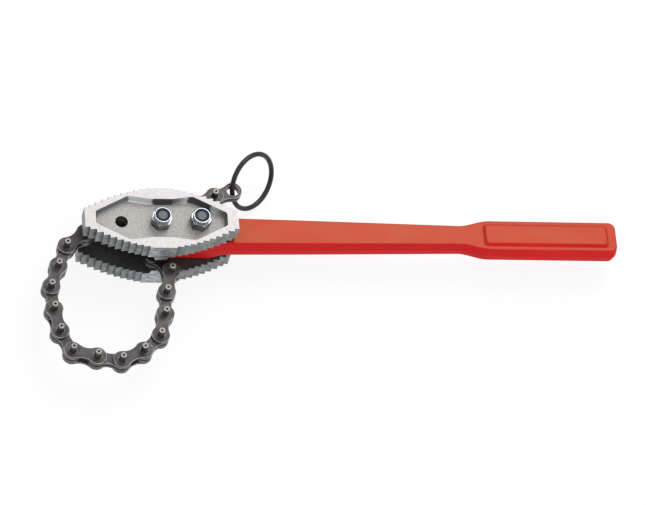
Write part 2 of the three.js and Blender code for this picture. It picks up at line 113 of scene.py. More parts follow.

# %% [markdown]
# ## The floor and the light
# A tool like this is photographed on a white sweep under a large soft lamp, with
# darker surroundings at eye level, so flats that face up are bright and upright flats
# are deeper. The floor shows white to the eye and to shiny surfaces, and takes a soft
# shadow. Under the spare bolt hole lies a dark disc, a painted shadow, as the floor
# itself shows white there. The sky fades from bright overhead to grey at the horizon,
# and a weaker lamp at the front right lights the teeth and the near side of the handle.

# %% Make the floor
FLOOR_DROP = 0.2
SHADE_RADIUS = 12
bpy.ops.object.select_all(action="DESELECT")
bpy.ops.mesh.primitive_plane_add(size=30, location=(0, 0, -FLOOR_DROP * MM))
floor = bpy.context.object
floor.name = "floor"
sweep = bpy.data.materials.new("white_sweep")
sweep.use_nodes = True
tree = sweep.node_tree
tree.nodes.clear()
path = add(tree, "ShaderNodeLightPath", {})
mirrored, passed = path.outputs["Is Glossy Ray"], path.outputs["Is Transmission Ray"]
shiny = add(tree, "ShaderNodeMath", {0: mirrored, 1: passed}, operation="MAXIMUM").outputs[0]
looked = path.outputs["Is Camera Ray"]
seen = add(tree, "ShaderNodeMath", {0: looked, 1: shiny}, operation="MAXIMUM")
share = add(tree, "ShaderNodeMath", {0: seen.outputs[0], 1: 0.86}, operation="MULTIPLY")
paper = add(tree, "ShaderNodeBsdfDiffuse", {"Color": colour("#f4f4f4")})
white = add(tree, "ShaderNodeEmission", {"Color": (1, 1, 1, 1), "Strength": 1.02})
layers = {0: share.outputs[0], 1: paper.outputs[0], 2: white.outputs[0]}
both = add(tree, "ShaderNodeMixShader", layers)
add(tree, "ShaderNodeOutputMaterial", {"Surface": both.outputs[0]})
floor.data.materials.append(sweep)
# A dark disc on the floor under the spare hole: a painted shadow, since the floor shows white to
# the eye even in the jaw's shade.
bpy.ops.object.select_all(action="DESELECT")
bpy.ops.mesh.primitive_circle_add(
    vertices=32, radius=SHADE_RADIUS * MM, fill_type="NGON",
    location=(centre.x - BOLT_SPACING * MM, centre.y, -FLOOR_DROP / 2 * MM),
)
shade = bpy.context.object
shade.name = "shade_under_hole"
shadow_disc_paint = bpy.data.materials.new("painted_shadow_paper")
shadow_disc_paint.use_nodes = True
shadow_disc_paint.node_tree.nodes["Principled BSDF"].inputs["Base Color"].default_value = colour("#3a3836")
shade.data.materials.append(shadow_disc_paint)
print("floor", [round(c, 1) for c in floor.dimensions])

# %% Light the studio
world = bpy.data.worlds.new("studio")
bpy.context.scene.world = world
world.use_nodes = True
tree = world.node_tree
tree.nodes.clear()
where = add(tree, "ShaderNodeTexCoord", {})
parts = add(tree, "ShaderNodeSeparateXYZ", {0: where.outputs["Generated"]})
HORIZON, OVERHEAD = 0.40, 0.84
fade = {FROM_LOW: 0, FROM_HIGH: 0.75, TO_LOW: HORIZON, TO_HIGH: OVERHEAD}
height = add(tree, "ShaderNodeMapRange", {AMOUNT: parts.outputs["Z"], **fade})
sky = add(tree, "ShaderNodeBackground", {"Color": (1, 1, 1, 1), "Strength": height.outputs[0]})
add(tree, "ShaderNodeOutputWorld", {"Surface": sky.outputs[0]})


def softbox(name, direction, distance, size, strength):
    light = bpy.data.lights.new(name, "AREA")
    light.shape = "SQUARE"
    light.size = size
    light.energy = strength
    lamp = bpy.data.objects.new(name, light)
    bpy.context.scene.collection.objects.link(lamp)
    lamp.location = Vector(direction).normalized() * distance
    lamp.rotation_euler = Vector(direction).to_track_quat("Z", "Y").to_euler()
    return lamp


softbox("overhead_box", (0.22, 0.50, 0.86), 2.4, 1.25, 23)
softbox("front_right_box", (0.75, -0.75, 0.40), 2.6, 1.0, 8)

# %% [markdown]
# ## The finishes
# Every finish is a pattern in the object's own coordinates, so it stays on the metal
# when a joint moves. Sizes of grain and scratches are given in millimetres.

# %% Start a finish


def finish_called(name):
    material = bpy.data.materials.new(name)
    material.use_nodes = True
    tree = material.node_tree
    tree.nodes.clear()
    place = add(tree, "ShaderNodeTexCoord", {}).outputs["Object"]
    surface = add(tree, "ShaderNodeBsdfPrincipled", {})
    add(tree, "ShaderNodeOutputMaterial", {"Surface": surface.outputs[0]})
    return material, tree, place, surface


def speckle(tree, place, size_mm, stretch=(1, 1, 1), detail=3.0, rough=0.55):
    """A noise whose blots are about size_mm across, drawn out where stretch is small."""
    drawn_out = add(tree, "ShaderNodeMapping", {"Vector": place, "Scale": stretch}).outputs[0]
    fineness = {"Scale": 1 / (size_mm * MM), "Detail": detail, "Roughness": rough}
    return add(tree, "ShaderNodeTexNoise", {"Vector": drawn_out, **fineness}).outputs["Fac"]


def mixed_colour(tree, amount, low, high, first, second):
    """Goes from the first colour to the second as amount goes from low to high."""
    blend = add(tree, "ShaderNodeMapRange", {AMOUNT: amount, FROM_LOW: low, FROM_HIGH: high})
    ends = {FACTOR: blend.outputs[0], FIRST: first, SECOND: second}
    return add(tree, "ShaderNodeMix", ends, data_type="RGBA").outputs[MIXED]


def two_tone(tree, surface, amount, low, high, first, second):
    """Base colour from first to second, which are written as they look on a screen."""
    mixed = mixed_colour(tree, amount, low, high, colour(first), colour(second))
    tree.links.new(mixed, surface.inputs["Base Color"])
    return mixed


def uneven_gloss(tree, surface, amount, low, high):
    spread = add(
        tree, "ShaderNodeMapRange",
        {AMOUNT: amount, FROM_LOW: 0.3, FROM_HIGH: 0.7, TO_LOW: low, TO_HIGH: high},
    )
    tree.links.new(spread.outputs[0], surface.inputs["Roughness"])


def relief(tree, surface, height, depth_mm, strength=1.0):
    inputs = {"Height": height, "Distance": depth_mm * MM, "Strength": strength}
    bump = add(tree, "ShaderNodeBump", inputs)
    tree.links.new(bump.outputs[0], surface.inputs["Normal"])


print("finish helpers ready")

# %% [markdown]
# ### Red enamel on a forging
# The handle is a drop forging, shot blasted and sprayed with red enamel. The paint
# levels out but keeps a slight orange peel, about 2 mm across, and the hue is a little
# uneven. A few small chips are darker, where the forging shows through. The enamel is
# painted as a lit copy, with an orange gloss on the flats, and a shaded copy, a dull
# crimson with almost no gloss on the upright sides and the near slopes.

# %% Red enamel


def enamel_called(name, first, second, gloss, roughest):
    material, tree, place, surface = finish_called(name)
    cloud = speckle(tree, place, 28, (0.45, 1, 1), 2)
    base = two_tone(tree, surface, cloud, 0.35, 0.65, first, second)
    fleck = speckle(tree, place, 4.5, (0.6, 1, 1), 4, 0.7)
    chipped = mixed_colour(tree, fleck, 0.755, 0.775, base, colour("#5e1512"))
    tree.links.new(chipped, surface.inputs["Base Color"])
    peel = speckle(tree, place, 2.2, (1, 1, 1), 2, 0.5)
    uneven_gloss(tree, surface, cloud, roughest - 0.1, roughest)
    relief(tree, surface, peel, 0.06, 0.5)
    surface.inputs["Specular IOR Level"].default_value = gloss
    surface.inputs["Specular Tint"].default_value = (1, 0.66, 0.34, 1)
    return material


# The first is the lit copy for the flats, with an orange gloss. The second, with almost no gloss,
# is the shaded copy for the sides: painted shade.
enamel = enamel_called("red_enamel", "#b21f19", "#ba2721", 0.52, 0.44)
enamel_shaded_copy = enamel_called("red_enamel_painted_shade", "#cd2124", "#d42527", 0.04, 0.5)
print(enamel.name, enamel_shaded_copy.name)

# %% [markdown]
# ### Steel of the jaws
# The jaws are alloy steel forgings. The outer rim is ground flat and almost white, with
# short grinding marks. The recess floor is shot blasted to a warm, even grey grain. The
# walls of the recess keep the smooth skin of the die, and the bright and dark bands
# along them are painted reflections of the room. The teeth are milled and hardened, a
# bluish grey, and the pads between them are filed along. The inner faces are dark:
# partly the scale of heat treatment, partly painted shade between the jaws.

# %% Ground rim
ground, tree, place, surface = finish_called("ground_steel")
marks = speckle(tree, place, 0.8, (1, 0.15, 1), 4, 0.6)
blots = speckle(tree, place, 2.2, (1, 1, 1), 4, 0.7)
two_tone(tree, surface, blots, 0.3, 0.7, "#dad6d6", "#c2bebe")
uneven_gloss(tree, surface, marks, 0.42, 0.6)
relief(tree, surface, marks, 0.06, 0.6)
surface.inputs["Metallic"].default_value = 0.2
print(ground.name)

# %% Blasted floor
blasted, tree, place, surface = finish_called("blasted_steel")
grain = speckle(tree, place, 1.3, (1, 1, 1), 5, 0.75)
two_tone(tree, surface, grain, 0.38, 0.62, "#9b9793", "#d2cdc8")
uneven_gloss(tree, surface, grain, 0.62, 0.8)
relief(tree, surface, grain, 0.16, 0.7)
surface.inputs["Metallic"].default_value = 0.35
print(blasted.name)

# %% Die-smooth walls with painted reflections
die_skin_painted_reflection, tree, place, surface = finish_called("die_skin_steel_painted_reflection")
patches = speckle(tree, place, 9, (1, 0.6, 0.6), 2, 0.5)
streaks = speckle(tree, place, 2.2, (0.2, 1, 1), 3)
along = add(tree, "ShaderNodeSeparateXYZ", {0: place}).outputs["X"]
patch_shift = {0: patches, 1: 14 * MM, 2: along}
wander = add(tree, "ShaderNodeMath", patch_shift, operation="MULTIPLY_ADD")
ends = {FROM_LOW: centre.x - 78 * MM, FROM_HIGH: centre.x + 92 * MM}
share_along = add(tree, "ShaderNodeMapRange", {AMOUNT: wander.outputs[0], **ends}).outputs[0]
reflection_ramp = add(tree, "ShaderNodeValToRGB", {0: share_along})
# The colour stops are painted reflections of the room: bright and dark bands along the wall's
# length.
reflection_bands = [
    (0.0, "#6a6d6d"), (0.24, "#7f8384"), (0.26, "#eef1f4"), (0.44, "#e8ecef"), (0.46, "#444948"),
    (0.59, "#434746"), (0.61, "#8b9092"), (0.71, "#f0f3f5"), (0.73, "#484c4b"), (0.88, "#464a49"),
    (0.90, "#dfe2e4"), (1.0, "#4a4d4c"),
]
stops = reflection_ramp.color_ramp.elements
for (spot, tone), stop in zip(reflection_bands, list(stops) + [None] * len(reflection_bands)):
    stop = stop or stops.new(spot)
    stop.position = spot
    stop.color = colour(tone)
tree.links.new(reflection_ramp.outputs["Color"], surface.inputs["Base Color"])
uneven_gloss(tree, surface, streaks, 0.24, 0.4)
relief(tree, surface, streaks, 0.12, 0.5)
surface.inputs["Metallic"].default_value = 0.25
print(die_skin_painted_reflection.name)

# %% Milled teeth
milled, tree, place, surface = finish_called("milled_tooth_steel")
cuts = speckle(tree, place, 1.1, (1, 1, 0.15), 3)
worn = speckle(tree, place, 6, (1, 1, 0.6), 3)
two_tone(tree, surface, worn, 0.32, 0.68, "#6c7172", "#9a9e9f")
uneven_gloss(tree, surface, cuts, 0.4, 0.58)
relief(tree, surface, cuts, 0.07, 0.6)
surface.inputs["Metallic"].default_value = 0.7
print(milled.name)

# %% Pads between the teeth
pad_steel, tree, place, surface = finish_called("filed_pad_steel")
strokes = speckle(tree, place, 2.6, (0.25, 1, 1), 3, 0.55)
two_tone(tree, surface, strokes, 0.36, 0.64, "#73777a", "#cfd2d4")
uneven_gloss(tree, surface, strokes, 0.26, 0.46)
relief(tree, surface, strokes, 0.08, 0.5)
surface.inputs["Metallic"].default_value = 0.5
print(pad_steel.name)

# %% Scaled inner face, partly painted shade
scale_and_shade_steel, tree, place, surface = finish_called("scale_and_shade_steel")
crust = speckle(tree, place, 5, (1, 1, 1), 5, 0.65)
# Dark grey: partly the scale of heat treatment, partly painted shade between the jaws and in the
# bores.
two_tone(tree, surface, crust, 0.3, 0.7, "#333635", "#4e504e")
uneven_gloss(tree, surface, crust, 0.5, 0.7)
relief(tree, surface, crust, 0.12, 0.6)
surface.inputs["Metallic"].default_value = 0.4
print(scale_and_shade_steel.name)

# %% [markdown]
# ### Bolts and lock nuts
# Bolts and nuts are bright zinc plated: a bluish mirror that is slightly clouded. Their
# upright hexagon flats take a darker copy of the zinc, as painted shade. The ring inside
# each nut is dark blue nylon, moulded and matte. The bolt's cut end is plain grey steel.

# %% Zinc, nylon and the bolt's end
zinc, tree, place, surface = finish_called("zinc_plate")
haze = speckle(tree, place, 3, (1, 1, 1), 3)
two_tone(tree, surface, haze, 0.3, 0.7, "#8d9398", "#c3c8cc")
uneven_gloss(tree, surface, haze, 0.16, 0.3)
relief(tree, surface, haze, 0.05, 0.4)
surface.inputs["Metallic"].default_value = 1

# A darker copy of the zinc for the upright hexagon flats: painted shade.
zinc_painted_shade, tree, place, surface = finish_called("zinc_plate_painted_shade")
cloud = speckle(tree, place, 9, (1, 1, 0.5), 2)
two_tone(tree, surface, cloud, 0.4, 0.6, "#4e5458", "#92999e")
uneven_gloss(tree, surface, cloud, 0.22, 0.36)
relief(tree, surface, cloud, 0.05, 0.4)
surface.inputs["Metallic"].default_value = 1

nylon, tree, place, surface = finish_called("blue_nylon")
flow = speckle(tree, place, 1.6, (1, 1, 1), 2)
two_tone(tree, surface, flow, 0.35, 0.65, "#17202b", "#2e3c4d")
uneven_gloss(tree, surface, flow, 0.36, 0.5)
relief(tree, surface, flow, 0.04, 0.5)
surface.inputs["Specular IOR Level"].default_value = 0.08

cut_steel, tree, place, surface = finish_called("cut_bolt_steel")
turned = speckle(tree, place, 1.2, (1, 0.4, 1), 4)
two_tone(tree, surface, turned, 0.35, 0.65, "#484e51", "#787e82")
uneven_gloss(tree, surface, turned, 0.5, 0.65)
relief(tree, surface, turned, 0.05, 0.5)
surface.inputs["Metallic"].default_value = 0.3
print(zinc.name, zinc_painted_shade.name, nylon.name, cut_steel.name)

# %% [markdown]
# ### The chain and its ring
# Link plates are punched from sheet, tumbled and phosphated: a matte, slightly brown
# grey that is lighter where plates rub. The pins' riveted ends are bare and bright, and
# the mark in their middle is painted dark, as shade in the hollow. The ring is bent from
# blackened wire.

# %% Chain finishes
phosphate, tree, place, surface = finish_called("phosphated_steel")
mottle = speckle(tree, place, 2.4, (1, 1, 1), 4, 0.65)
rubbed = speckle(tree, place, 14, (1, 1, 1), 2)
amount = add(tree, "ShaderNodeMath", {0: mottle, 1: rubbed}, operation="ADD")
half = add(tree, "ShaderNodeMath", {0: amount.outputs[0], 1: 0.5}, operation="MULTIPLY").outputs[0]
two_tone(tree, surface, half, 0.4, 0.6, "#3b3839", "#5e5a5b")
uneven_gloss(tree, surface, mottle, 0.42, 0.6)
relief(tree, surface, mottle, 0.06, 0.5)
surface.inputs["Metallic"].default_value = 0.6

# A dark copy of the plate finish for the links deepest between the jaws: painted shade.
shade_dark_plate, tree, place, surface = finish_called("painted_shade_plate_steel")
shade_blotch = speckle(tree, place, 5, (1, 1, 1), 3)
two_tone(tree, surface, shade_blotch, 0.3, 0.7, "#1c1a1a", "#393534")
uneven_gloss(tree, surface, shade_blotch, 0.3, 0.45)
relief(tree, surface, shade_blotch, 0.05, 0.5)
surface.inputs["Metallic"].default_value = 0.4

# Oiled pin shanks; the same dark finish in each pin's centre mark is painted shade in the hollow.
oiled_pin_and_hole_shade, tree, place, surface = finish_called("oiled_pin_and_hole_shade_steel")
oil = speckle(tree, place, 1.8, (1, 1, 0.4), 3)
two_tone(tree, surface, oil, 0.3, 0.7, "#2c2a2a", "#55504f")
uneven_gloss(tree, surface, oil, 0.3, 0.45)
relief(tree, surface, oil, 0.04, 0.5)
surface.inputs["Metallic"].default_value = 0.7

rivet, tree, place, surface = finish_called("bare_rivet_steel")
hammered = speckle(tree, place, 1.5, (1, 1, 1), 3)
two_tone(tree, surface, hammered, 0.35, 0.65, "#605b55", "#958e86")
uneven_gloss(tree, surface, hammered, 0.28, 0.42)
relief(tree, surface, hammered, 0.06, 0.5)
surface.inputs["Metallic"].default_value = 0.5

blacked, tree, place, surface = finish_called("blackened_wire")
drawn = speckle(tree, place, 1.4, (1, 1, 1), 4)
two_tone(tree, surface, drawn, 0.3, 0.72, "#1d1d1e", "#39383a")
uneven_gloss(tree, surface, drawn, 0.32, 0.48)
relief(tree, surface, drawn, 0.04, 0.5)
surface.inputs["Metallic"].default_value = 0.35
print(phosphate.name, oiled_pin_and_hole_shade.name, rivet.name, blacked.name)

# %% [markdown]
# ## Helpers for modelling
# An operator acts on all that is selected, so each piece starts with nothing else
# selected, and faces or edges are picked by their place or direction before an
# operator runs.

# %% Pick, shape and apply


def alone(piece):
    if bpy.context.object and bpy.context.object.mode != "OBJECT":
        bpy.ops.object.mode_set(mode="OBJECT")
    bpy.ops.object.select_all(action="DESELECT")
    if piece:
        piece.select_set(True)
        bpy.context.view_layer.objects.active = piece
    return piece


def pick(piece, kind, test):
    """Edit mode on piece, with only its faces, edges or vertices that pass the test selected."""
    alone(piece)
    bpy.ops.object.mode_set(mode="EDIT")
    bpy.ops.mesh.select_mode(type=kind)
    bpy.ops.mesh.select_all(action="DESELECT")
    bpy.ops.object.mode_set(mode="OBJECT")
    mesh = piece.data
    chosen = 0
    for part in {"VERT": mesh.vertices, "EDGE": mesh.edges, "FACE": mesh.polygons}[kind]:
        part.select = bool(test(part))
        chosen += part.select
    bpy.ops.object.mode_set(mode="EDIT")
    return chosen


def done():
    bpy.ops.object.mode_set(mode="OBJECT")


def push_up(height):
    bpy.ops.mesh.extrude_region_move(TRANSFORM_OT_translate={"value": (0, 0, height * MM)})


def cylinder(radius, low, high, x=0, sides=48):
    alone(None)
    bpy.ops.mesh.primitive_cylinder_add(
        vertices=sides, radius=radius * MM, depth=(high - low) * MM,
        location=(x * MM, 0, (low + high) / 2 * MM),
    )
    bpy.ops.object.transform_apply(location=True, rotation=True, scale=True)
    return bpy.context.object


def slab(low, high):
    alone(None)
    bpy.ops.mesh.primitive_cube_add(
        size=1, location=[(a + b) / 2 * MM for a, b in zip(low, high)],
        scale=[(b - a) * MM for a, b in zip(low, high)],
    )
    bpy.ops.object.transform_apply(location=True, rotation=True, scale=True)
    return bpy.context.object


def combine(piece, tools, how):
    """Adds, cuts or keeps the shared part of each tool, then removes the tool."""
    for tool in tools:
        alone(piece)
        step = piece.modifiers.new("step", "BOOLEAN")
        step.operation = how
        step.solver = "EXACT"
        step.object = tool
        bpy.ops.object.modifier_apply(modifier=step.name)
        bpy.data.objects.remove(tool)
    return piece


def soften(piece, width, segments=2, sharper_than=30):
    """Rounds every edge that is sharper than an angle, as tumbling or deburring does."""
    alone(piece)
    step = piece.modifiers.new("step", "BEVEL")
    step.width = width * MM
    step.segments = segments
    step.limit_method = "ANGLE"
    step.angle_limit = math.radians(sharper_than)
    step.miter_outer = "MITER_ARC"
    bpy.ops.object.modifier_apply(modifier=step.name)
    return piece


def smooth(piece, angle=35):
    alone(piece)
    bpy.ops.object.shade_smooth_by_angle(angle=math.radians(angle))
    step = piece.modifiers.new("step", "WEIGHTED_NORMAL")
    step.keep_sharp = True
    bpy.ops.object.modifier_apply(modifier=step.name)
    return piece


def paint(piece, rules):
    """The first rule's finish covers the piece; each later (finish, test) takes its faces."""
    piece.data.materials.clear()
    for index, (finish, test) in enumerate(rules):
        piece.data.materials.append(finish)
        for face in piece.data.polygons:
            if index == 0 or test(face):
                face.material_index = index
    return piece


def set_in_place(model, name, matrix, node, body):
    """A copy of the model, moved by its own vertices, that stands for a frame node."""
    mesh = model.data.copy()
    mesh.transform(matrix)
    mesh.update()
    piece = bpy.data.objects.new(name, mesh)
    mesh.name = name
    bpy.context.scene.collection.objects.link(piece)
    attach(piece, body)
    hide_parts(node)
    return piece


print("modelling helpers ready")

# %% [markdown]
# ## Chain: the link plate
# A plate is a round eye about each pivot, drawn in between them to a waist. It could
# be cut from a sheet with booleans, but here its outline is spun, as on a drawing
# board: one point is spun round the first eye, then the other way round the waist's
# centre, then round the second eye and the other waist. The face is filled and
# extruded to the plate's thickness.

# %% Spin a plate
CHAIN_PITCH = 31.75
PLATE_THICKNESS = 3.5
EYE_RADIUS = 11.8
WAIST_RADIUS = 20
EYE_STEPS, WAIST_STEPS = 28, 10


def link_plate(length, first, last, low):
    to_first, to_last = first + WAIST_RADIUS, last + WAIST_RADIUS
    waist_x = (length**2 + to_first**2 - to_last**2) / (2 * length)
    waist_y = math.sqrt(to_first**2 - waist_x**2)
    first_angle = math.atan2(waist_y, waist_x)
    last_angle = math.atan2(waist_y, waist_x - length)
    alone(None)
    bpy.ops.mesh.primitive_plane_add(size=MM)
    plate = bpy.context.object
    bpy.ops.object.mode_set(mode="EDIT")
    bpy.ops.mesh.select_mode(type="VERT")
    bpy.ops.mesh.select_all(action="SELECT")
    bpy.ops.mesh.merge(type="CENTER")
    start = Vector((first * math.cos(first_angle), first * math.sin(first_angle), low)) * MM
    bpy.ops.transform.translate(value=start)
    turns = [
        ((0, 0), 2 * math.pi - 2 * first_angle, EYE_STEPS),
        ((waist_x, -waist_y), first_angle - last_angle, WAIST_STEPS),
        ((length, 0), 2 * last_angle, EYE_STEPS),
        ((waist_x, waist_y), first_angle - last_angle, WAIST_STEPS),
    ]
    for (x, y), angle, steps in turns:
        spun_about = (x * MM, y * MM, low * MM)
        bpy.ops.mesh.spin(steps=steps, angle=-angle, center=spun_about, axis=(0, 0, 1))
    bpy.ops.mesh.select_all(action="SELECT")
    bpy.ops.mesh.remove_doubles(threshold=0.02 * MM)
    bpy.ops.mesh.edge_face_add()
    push_up(PLATE_THICKNESS)
    bpy.ops.mesh.select_all(action="SELECT")
    bpy.ops.mesh.normals_make_consistent(inside=False)
    done()
    return plate


print("one link plate is", CHAIN_PITCH, "mm between its holes")

# %% [markdown]
# ## Chain: pins, bushes and holes
# The pins are long: 11 mm of each end stands out of the plates, so that the jaws'
# lugs can catch it. A lathe leaves a small bevel and a centre hole in each end. The
# hole could be sunk from the end face by an inset, and a cone cut away does the same.
# A bush is a plain tube round a pin, and what turns on it keeps a small running gap.
# REACH is how far a cutting cylinder stands out of the middle, past any piece it cuts.

# %% Turn a pin
PIN_RADIUS = 4.4
PIN_HALF_LENGTH = 20.3
PIN_BEVEL = 0.8
MARK_DEPTH = 2.1
BUSH_RADIUS = 6.5
GAP = 0.3
REACH = 30


def turned_pin(x):
    rod = cylinder(PIN_RADIUS, -PIN_HALF_LENGTH, PIN_HALF_LENGTH, x, sides=40)
    soften(rod, PIN_BEVEL, 3, 60)
    for side in (1, -1):
        alone(None)
        cone_height = 4
        middle = side * (PIN_HALF_LENGTH + cone_height / 2 - MARK_DEPTH)
        bpy.ops.mesh.primitive_cone_add(
            vertices=24, radius1=1.2 * MM, radius2=2 * MM, depth=cone_height * MM,
            location=(x * MM, 0, middle * MM), rotation=(0 if side > 0 else math.pi, 0, 0),
        )
        bpy.ops.object.transform_apply(location=True, rotation=True, scale=True)
        combine(rod, [bpy.context.object], "DIFFERENCE")
    return rod


def with_holes(plate, places):
    drills = [cylinder(radius, -REACH, REACH, x) for x, radius in places]
    return combine(plate, drills, "DIFFERENCE")


def is_rim(face):
    return 0.25 < abs(face.normal.z) < 0.97


print("pin radius", PIN_RADIUS, "bush radius", BUSH_RADIUS)

# %% [markdown]
# ## Chain: the four kinds of piece
# A link's lower plate and its two pins or bushes are one riveted piece, and its upper
# plate is another. Each kind is modelled once, lying along the X axis with its first
# pivot at the origin. The plates' punched edges are rounded first, and then the
# rounded faces get a lighter finish: rubbed by the tumbling, and brighter still as a
# painted highlight. The four levels below are the undersides of the plates, from the
# chain's middle plane.

# %% Model the links once
# The rounded plate edges are lighter: real rubbing by tumbling, brightened further as a painted
# highlight.
rubbed_edge_highlight, tree, place, surface = finish_called("rubbed_plate_edge_highlight")
rub = speckle(tree, place, 3, (1, 1, 1), 4)
two_tone(tree, surface, rub, 0.35, 0.65, "#827e7b", "#bbb6b2")
uneven_gloss(tree, surface, rub, 0.34, 0.5)
relief(tree, surface, rub, 0.06, 0.5)
surface.inputs["Metallic"].default_value = 0.7


OUTER_LOW, OUTER_HIGH = -8.8, 5.3
INNER_LOW, INNER_HIGH = -5, 1.5
PLATE_TOP = OUTER_HIGH + PLATE_THICKNESS
PLATE_ROUNDING = 0.55
MARK_RADIUS = 1.7


def chain_paint(piece, pins=()):
    def within(face, radius):
        return any(math.hypot(face.center.x - x * MM, face.center.y) < radius * MM for x in pins)

    def on_pin(face):
        return within(face, PIN_RADIUS + 0.15) and abs(face.center.z) > (PLATE_TOP + 0.1) * MM

    def in_hole(face):
        depth = PIN_HALF_LENGTH - abs(face.center.z) / MM
        return 0.01 < depth < MARK_DEPTH + 0.2 and within(face, MARK_RADIUS)

    def on_end(face):
        near_end = abs(face.center.z) > (PIN_HALF_LENGTH - MARK_DEPTH) * MM
        return on_pin(face) and near_end and (abs(face.normal.z) > 0.3 or in_hole(face))

    return paint(piece, [
        # the rims: rubbing wear and painted highlight
        (phosphate, None), (rubbed_edge_highlight, is_rim), (oiled_pin_and_hole_shade, on_pin), (rivet, on_end),
        # the centre mark: painted shade in the hollow
        (oiled_pin_and_hole_shade, in_hole),
    ])


def rounded_plate(length, first, last, low, holes=()):
    plate = link_plate(length, first, last, low)
    if holes:
        with_holes(plate, holes)
    return soften(plate, PLATE_ROUNDING, 2, 40)


def bush(x):
    return cylinder(BUSH_RADIUS, INNER_LOW + 0.1, INNER_HIGH + PLATE_THICKNESS, x)


PINS = [0, CHAIN_PITCH]
PIN_BORE, BUSH_BORE = PIN_RADIUS + GAP, BUSH_RADIUS + GAP
link_eyes = (CHAIN_PITCH, EYE_RADIUS, EYE_RADIUS)
models = {}
models["pin_link"] = combine(
    rounded_plate(*link_eyes, OUTER_LOW), [turned_pin(x) for x in PINS], "UNION",
)
models["pin_plate"] = rounded_plate(*link_eyes, OUTER_HIGH, [(x, PIN_BORE) for x in PINS])
models["bush_link"] = with_holes(
    combine(rounded_plate(*link_eyes, INNER_LOW), [bush(x) for x in PINS], "UNION"),
    [(x, PIN_BORE) for x in PINS],
)
models["bush_plate"] = rounded_plate(*link_eyes, INNER_HIGH, [(x, BUSH_BORE) for x in PINS])
for name, model in models.items():
    chain_paint(model, PINS if name == "pin_link" else ())
    smooth(model)
    print(name, len(model.data.polygons), "faces", [round(d * 1000, 1) for d in model.dimensions])

# %% [markdown]
# ## Chain: the anchor link and the end link
# The anchor link is the chain's root: a hub on the centre bolt with a plate on each
# side and a short pin. The end link is shorter and has a larger hole for the ring.

# %% Model the two ends
BOLT_BORE = 8.3
ANCHOR_EYE = 14
END_LENGTH = 27
END_HOLE = 7.75
HUB_RADIUS, HUB_LOW, HUB_HIGH = 12, -5.4, 5
hub = cylinder(HUB_RADIUS, HUB_LOW, HUB_HIGH)
carrier = cylinder(PIN_RADIUS, -PLATE_TOP - GAP, PLATE_TOP + GAP, CHAIN_PITCH, sides=40)
anchor_eyes = (CHAIN_PITCH, ANCHOR_EYE, EYE_RADIUS)
models["anchor_link"] = with_holes(
    combine(rounded_plate(*anchor_eyes, OUTER_LOW), [hub, carrier], "UNION"), [(0, BOLT_BORE)],
)
models["anchor_plate"] = rounded_plate(
    *anchor_eyes, OUTER_HIGH, [(0, BOLT_BORE), (CHAIN_PITCH, PIN_BORE)],
)
end_eyes = (END_LENGTH, EYE_RADIUS, EYE_RADIUS)
ring_hole = (END_LENGTH, END_HOLE)
models["end_link"] = with_holes(
    combine(rounded_plate(*end_eyes, INNER_LOW, [ring_hole]), [bush(0)], "UNION"), [(0, PIN_BORE)],
)
models["end_plate"] = rounded_plate(*end_eyes, INNER_HIGH, [(0, BUSH_BORE), ring_hole])
for name in ("anchor_link", "anchor_plate", "end_link", "end_plate"):
    chain_paint(models[name])
    smooth(models[name])
    print(name, len(models[name].data.polygons), "faces")

# %% [markdown]
# ## Chain: lay out the links
# Link number k runs from joint k to joint k + 1. Its copy is turned and moved by its
# own vertices, so the object stays at the origin, and it rides on the joint's child.
# The two links deepest between the jaws are painted dark, as shade between the jaws.

# %% Copy the links to their joints
chain_joints = frame["joints"][:-1]
for index, joint in enumerate(chain_joints):
    start, stop = pivots[index], pivots[index + 1]
    heading = math.atan2(stop.y - start.y, stop.x - start.x)
    spot = Matrix.Translation(start) @ Matrix.Rotation(heading, 4, "Z")
    body = joint["child"]
    if body in ("anchor", "end"):
        pair = [(f"{body}_link", f"{body}_link"), (f"{body}_plate", f"{body}_cover")]
        names = [f"{body}_eye_link", f"{body}_eye_plate"]
    else:
        kind, number = body.split("_")
        sort = {"outer": "pin", "inner": "bush"}[kind]
        pair = [
            (f"{sort}_link", f"{kind}_link_{number}"),
            (f"{sort}_plate", f"{kind}_cover_{number}"),
        ]
        names = [f"{sort}_link_{number}", f"{sort}_plate_{number}"]
    for (model, node), name in zip(pair, names):
        piece = set_in_place(models[model], name, spot, node, body)
        # These two links take the dark plate finish on faces and edges: painted shade.
        if body in ("anchor", "inner_01"):
            piece.data.materials[0] = piece.data.materials[1] = shade_dark_plate
for model in models.values():
    bpy.data.objects.remove(model)
print("links laid out", len(chain_joints))

# %% [markdown]
# ## Jaws
# Each jaw is a forging with 36 milled teeth round its edge and a deep recess in its
# outer face. The frame's own solid has the right outline, so a copy of it is welded,
# its flat faces are joined up, and every sharp edge is broken as a file would do it.
# Then each face gets its finish by where it is and which way it faces.

# %% Weld and deburr the jaws
worn_edge, tree, place, surface = finish_called("worn_steel_edge")
wear = speckle(tree, place, 2.5, (1, 1, 1), 4)
two_tone(tree, surface, wear, 0.3, 0.7, "#c3c6c7", "#f0f0f0")
uneven_gloss(tree, surface, wear, 0.28, 0.42)
relief(tree, surface, wear, 0.06, 0.5)
surface.inputs["Metallic"].default_value = 0.85


def welded_copy(node, name):
    piece = bpy.data.objects.new(name, frame["nodes"][node].data.copy())
    piece.data.name = name
    bpy.context.scene.collection.objects.link(piece)
    alone(piece)
    bpy.ops.mesh.customdata_custom_splitnormals_clear()
    bpy.ops.object.mode_set(mode="EDIT")
    bpy.ops.mesh.select_all(action="SELECT")
    bpy.ops.mesh.remove_doubles(threshold=0.004 * MM)
    bpy.ops.mesh.dissolve_limited(angle_limit=math.radians(0.8))
    done()
    return piece


